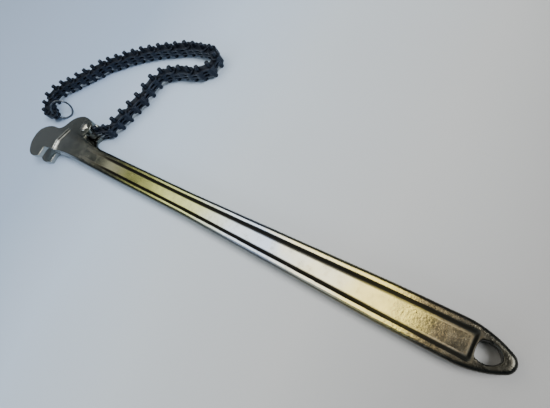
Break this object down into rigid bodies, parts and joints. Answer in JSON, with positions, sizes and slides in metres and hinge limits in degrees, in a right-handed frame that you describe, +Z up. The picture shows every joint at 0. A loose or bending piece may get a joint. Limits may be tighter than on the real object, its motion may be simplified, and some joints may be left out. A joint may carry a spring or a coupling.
{
  "type": "chain pipe wrench",
  "caption": "Chain pipe wrench: a long I-section forged handle with a toothed, forked jaw, and a leaf chain with protruding pins that wraps a pipe and hooks into the jaw.",
  "frame": {"origin": "on the ground, under the middle of the hang hole in the handle's end; the wrench lies on its side", "axes": "+X along the handle from the hang hole to the jaw, +Y to the side of the hooks, +Z up through the thickness of the jaw"},
  "size_m": [0.5672, 0.1936, 0.0257],
  "materials": {
    "plated_forging": "forged steel with a thin warm plating, satin, slightly pitted",
    "plated_pin": "machined steel with a thin warm plating, satin",
    "chain_steel": "blued steel, dark, lightly oiled, satin",
    "ring_wire": "hardened spring wire, darkened, satin"
  },
  "bodies": {
    "handle": {"forged_handle": "plated_forging", "anchor_pin": "plated_pin"},
    "shackle": {"shackle": "plated_pin"},
    "link_01": {"chain_pin_link_01": "chain_steel"},
    "link_02": {"chain_inner_link_02": "chain_steel"},
    "link_03": {"chain_pin_link_03": "chain_steel"},
    "link_04": {"chain_inner_link_04": "chain_steel"},
    "link_05": {"chain_pin_link_05": "chain_steel"},
    "link_06": {"chain_inner_link_06": "chain_steel"},
    "link_07": {"chain_pin_link_07": "chain_steel"},
    "link_08": {"chain_inner_link_08": "chain_steel"},
    "link_09": {"chain_pin_link_09": "chain_steel"},
    "link_10": {"chain_inner_link_10": "chain_steel"},
    "link_11": {"chain_pin_link_11": "chain_steel"},
    "link_12": {"chain_inner_link_12": "chain_steel"},
    "link_13": {"chain_pin_link_13": "chain_steel"},
    "link_14": {"chain_inner_link_14": "chain_steel"},
    "link_15": {"chain_pin_link_15": "chain_steel"},
    "link_16": {"chain_inner_link_16": "chain_steel"},
    "link_17": {"chain_pin_link_17": "chain_steel"},
    "link_18": {"chain_inner_link_18": "chain_steel"},
    "link_19": {"chain_pin_link_19": "chain_steel"},
    "link_20": {"chain_inner_link_20": "chain_steel"},
    "link_21": {"chain_pin_link_21": "chain_steel"},
    "link_22": {"chain_inner_link_22": "chain_steel"},
    "link_23": {"chain_pin_link_23": "chain_steel"},
    "link_24": {"chain_inner_link_24": "chain_steel"},
    "link_25": {"chain_pin_link_25": "chain_steel"},
    "link_26": {"chain_inner_link_26": "chain_steel"},
    "link_27": {"chain_pin_link_27": "chain_steel"},
    "link_28": {"chain_inner_link_28": "chain_steel"},
    "link_29": {"chain_pin_link_29": "chain_steel"},
    "link_30": {"chain_inner_link_30": "chain_steel"},
    "link_31": {"chain_pin_link_31": "chain_steel"},
    "link_32": {"chain_inner_link_32": "chain_steel"},
    "link_33": {"chain_pin_link_33": "chain_steel"},
    "link_34": {"chain_inner_link_34": "chain_steel"},
    "link_35": {"chain_pin_link_35": "chain_steel"},
    "link_36": {"chain_inner_link_36": "chain_steel"},
    "link_37": {"chain_pin_link_37": "chain_steel"},
    "link_38": {"chain_end_link": "chain_steel"},
    "ring": {"split_ring": "ring_wire"}
  },
  "joints": [
    {"name": "shackle_swing", "type": "hinge", "parent": "handle", "child": "shackle", "pos_m": [0.4362, -0.0257, 0.011], "axis": [0, 0, 1], "range_deg": [-15, 16]},
    {"name": "link_01_hinge", "type": "hinge", "parent": "shackle", "child": "link_01", "pos_m": [0.42159, -0.02951, 0.011], "axis": [0, 0, -1], "range_deg": [-13, 15]},
    {"name": "link_02_hinge", "type": "hinge", "parent": "link_01", "child": "link_02", "pos_m": [0.41008, -0.03487, 0.011], "axis": [0, 0, 1], "range_deg": [-15, 11]},
    {"name": "link_03_hinge", "type": "hinge", "parent": "link_02", "child": "link_03", "pos_m": [0.40471, -0.04638, 0.011], "axis": [0, 0, -1], "range_deg": [-10, 15]},
    {"name": "link_04_hinge", "type": "hinge", "parent": "link_03", "child": "link_04", "pos_m": [0.40037, -0.05832, 0.011], "axis": [0, 0, 1], "range_deg": [-15, 9]},
    {"name": "link_05_hinge", "type": "hinge", "parent": "link_04", "child": "link_05", "pos_m": [0.39602, -0.07025, 0.011], "axis": [0, 0, -1], "range_deg": [-8, 15]},
    {"name": "link_06_hinge", "type": "hinge", "parent": "link_05", "child": "link_06", "pos_m": [0.39168, -0.08219, 0.011], "axis": [0, 0, -1], "range_deg": [-7, 15]},
    {"name": "link_07_hinge", "type": "hinge", "parent": "link_06", "child": "link_07", "pos_m": [0.39057, -0.09484, 0.011], "axis": [0, 0, 1], "range_deg": [-15, 7]},
    {"name": "link_08_hinge", "type": "hinge", "parent": "link_07", "child": "link_08", "pos_m": [0.38837, -0.10734, 0.011], "axis": [0, 0, 1], "range_deg": [-15, 6]},
    {"name": "link_09_hinge", "type": "hinge", "parent": "link_08", "child": "link_09", "pos_m": [0.38108, -0.11775, 0.011], "axis": [0, 0, -1], "range_deg": [-6, 15]},
    {"name": "link_10_hinge", "type": "hinge", "parent": "link_09", "child": "link_10", "pos_m": [0.36957, -0.12312, 0.011], "axis": [0, 0, 1], "range_deg": [-15, 5]},
    {"name": "link_11_hinge", "type": "hinge", "parent": "link_10", "child": "link_11", "pos_m": [0.35731, -0.1264, 0.011], "axis": [0, 0, -1], "range_deg": [-5, 15]},
    {"name": "link_12_hinge", "type": "hinge", "parent": "link_11", "child": "link_12", "pos_m": [0.34465, -0.12751, 0.011], "axis": [0, 0, 1], "range_deg": [-15, 5]},
    {"name": "link_13_hinge", "type": "hinge", "parent": "link_12", "child": "link_13", "pos_m": [0.33239, -0.1308, 0.011], "axis": [0, 0, -1], "range_deg": [-4, 35]},
    {"name": "link_14_hinge", "type": "hinge", "parent": "link_13", "child": "link_14", "pos_m": [0.32198, -0.13808, 0.011], "axis": [0, 0, 1], "range_deg": [-35, 4]},
    {"name": "link_15_hinge", "type": "hinge", "parent": "link_14", "child": "link_15", "pos_m": [0.32198, -0.15078, 0.011], "axis": [0, 0, -1], "range_deg": [-4, 35]},
    {"name": "link_16_hinge", "type": "hinge", "parent": "link_15", "child": "link_16", "pos_m": [0.33239, -0.15806, 0.011], "axis": [0, 0, 1], "range_deg": [-35, 4]},
    {"name": "link_17_hinge", "type": "hinge", "parent": "link_16", "child": "link_17", "pos_m": [0.34509, -0.15806, 0.011], "axis": [0, 0, -1], "range_deg": [-4, 35]},
    {"name": "link_18_hinge", "type": "hinge", "parent": "link_17", "child": "link_18", "pos_m": [0.35779, -0.15806, 0.011], "axis": [0, 0, 1], "range_deg": [-35, 5]},
    {"name": "link_19_hinge", "type": "hinge", "parent": "link_18", "child": "link_19", "pos_m": [0.37044, -0.15696, 0.011], "axis": [0, 0, -1], "range_deg": [-5, 35]},
    {"name": "link_20_hinge", "type": "hinge", "parent": "link_19", "child": "link_20", "pos_m": [0.38271, -0.15367, 0.011], "axis": [0, 0, 1], "range_deg": [-35, 5]},
    {"name": "link_21_hinge", "type": "hinge", "parent": "link_20", "child": "link_21", "pos_m": [0.39497, -0.15038, 0.011], "axis": [0, 0, -1], "range_deg": [-6, 35]},
    {"name": "link_22_hinge", "type": "hinge", "parent": "link_21", "child": "link_22", "pos_m": [0.40724, -0.1471, 0.011], "axis": [0, 0, 1], "range_deg": [-35, 6]},
    {"name": "link_23_hinge", "type": "hinge", "parent": "link_22", "child": "link_23", "pos_m": [0.41917, -0.14275, 0.011], "axis": [0, 0, -1], "range_deg": [-7, 35]},
    {"name": "link_24_hinge", "type": "hinge", "parent": "link_23", "child": "link_24", "pos_m": [0.43111, -0.13841, 0.011], "axis": [0, 0, -1], "range_deg": [-8, 35]},
    {"name": "link_25_hinge", "type": "hinge", "parent": "link_24", "child": "link_25", "pos_m": [0.44262, -0.13304, 0.011], "axis": [0, 0, 1], "range_deg": [-35, 9]},
    {"name": "link_26_hinge", "type": "hinge", "parent": "link_25", "child": "link_26", "pos_m": [0.45413, -0.12768, 0.011], "axis": [0, 0, -1], "range_deg": [-10, 35]},
    {"name": "link_27_hinge", "type": "hinge", "parent": "link_26", "child": "link_27", "pos_m": [0.46513, -0.12133, 0.011], "axis": [0, 0, 1], "range_deg": [-35, 12]},
    {"name": "link_28_hinge", "type": "hinge", "parent": "link_27", "child": "link_28", "pos_m": [0.47613, -0.11498, 0.011], "axis": [0, 0, 1], "range_deg": [-35, 15]},
    {"name": "link_29_hinge", "type": "hinge", "parent": "link_28", "child": "link_29", "pos_m": [0.48712, -0.10863, 0.011], "axis": [0, 0, -1], "range_deg": [-19, 35]},
    {"name": "link_30_hinge", "type": "hinge", "parent": "link_29", "child": "link_30", "pos_m": [0.4961, -0.09964, 0.011], "axis": [0, 0, 1], "range_deg": [-35, 24]},
    {"name": "link_31_hinge", "type": "hinge", "parent": "link_30", "child": "link_31", "pos_m": [0.50583, -0.09148, 0.011], "axis": [0, 0, -1], "range_deg": [-40, 35]},
    {"name": "link_32_hinge", "type": "hinge", "parent": "link_31", "child": "link_32", "pos_m": [0.51556, -0.08332, 0.011], "axis": [0, 0, 1], "range_deg": [-40, 40]},
    {"name": "link_33_hinge", "type": "hinge", "parent": "link_32", "child": "link_33", "pos_m": [0.52454, -0.07434, 0.011], "axis": [0, 0, -1], "range_deg": [-40, 40]},
    {"name": "link_34_hinge", "type": "hinge", "parent": "link_33", "child": "link_34", "pos_m": [0.53495, -0.06705, 0.011], "axis": [0, 0, 1], "range_deg": [-40, 40]},
    {"name": "link_35_hinge", "type": "hinge", "parent": "link_34", "child": "link_35", "pos_m": [0.54393, -0.05807, 0.011], "axis": [0, 0, -1], "range_deg": [-32, 40]},
    {"name": "link_36_hinge", "type": "hinge", "parent": "link_35", "child": "link_36", "pos_m": [0.54721, -0.04581, 0.011], "axis": [0, 0, -1], "range_deg": [-17, 40]},
    {"name": "link_37_hinge", "type": "hinge", "parent": "link_36", "child": "link_37", "pos_m": [0.54086, -0.03481, 0.011], "axis": [0, 0, 1], "range_deg": [-40, 40]},
    {"name": "link_38_hinge", "type": "hinge", "parent": "link_37", "child": "link_38", "pos_m": [0.53188, -0.02583, 0.011], "axis": [0, 0, -1], "range_deg": [-12, 40]},
    {"name": "ring_swivel", "type": "hinge", "parent": "link_38", "child": "ring", "pos_m": [0.51923, -0.02693, 0.011], "axis": [0, 0, 1], "range_deg": [-60, 20]}
  ]
}
